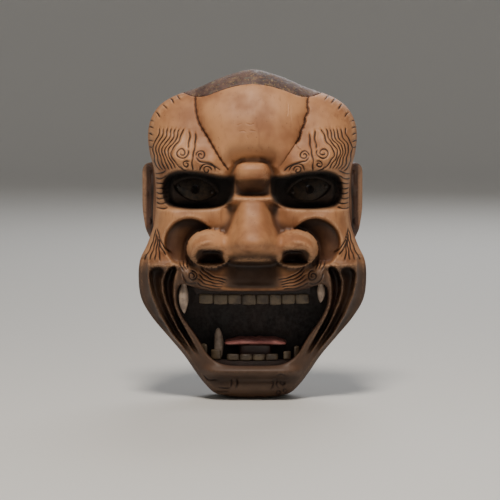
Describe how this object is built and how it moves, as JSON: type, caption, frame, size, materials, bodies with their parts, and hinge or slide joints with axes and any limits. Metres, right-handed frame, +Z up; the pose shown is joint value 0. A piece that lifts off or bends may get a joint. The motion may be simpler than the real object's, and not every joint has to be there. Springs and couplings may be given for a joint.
{
  "type": "noh mask",
  "caption": "Carved wooden noh mask of a demon with an open toothed mouth, domed metal eyes, engraved brows, separate ears and a dark crown, hollowed at the back to be worn or hung.",
  "frame": {"origin": "centre of the flat back rim's plane", "axes": "+Z up, from chin to crown; the face looks along -Y; +X to the right as seen from the front"},
  "size_m": [0.15, 0.0849, 0.2168],
  "materials": {
    "carved_wood": "waxed and worn, dark in the grooves",
    "ear_wood": "waxed and worn",
    "dark_crown": "worn dark lacquer",
    "dark_board": "dull dark lacquer",
    "bamboo": "plain",
    "gilt_copper": "tarnished gilding",
    "iron": "dark patina",
    "gum_wood": "dull red-brown lacquer",
    "tooth_wood": "yellowed paint",
    "tusk_wood": "pale paint",
    "tongue_wood": "pink-red paint"
  },
  "bodies": {
    "root": {"face_shell": "carved_wood", "crown_block": "dark_crown", "crown_pegs": "bamboo", "left_ear": "ear_wood", "right_ear": "ear_wood", "left_ear_pegs": "bamboo", "right_ear_pegs": "bamboo", "left_eye_plate": "gilt_copper", "right_eye_plate": "gilt_copper", "left_eye_nails": "iron", "right_eye_nails": "iron", "upper_gum": "gum_wood", "upper_teeth": "tooth_wood", "left_upper_tusk": "tusk_wood", "right_upper_tusk": "tusk_wood", "lower_gum": "gum_wood", "lower_teeth": "tooth_wood", "lower_tusk": "tusk_wood", "tongue": "tongue_wood", "throat_plate": "dark_board"}
  },
  "joints": []
}
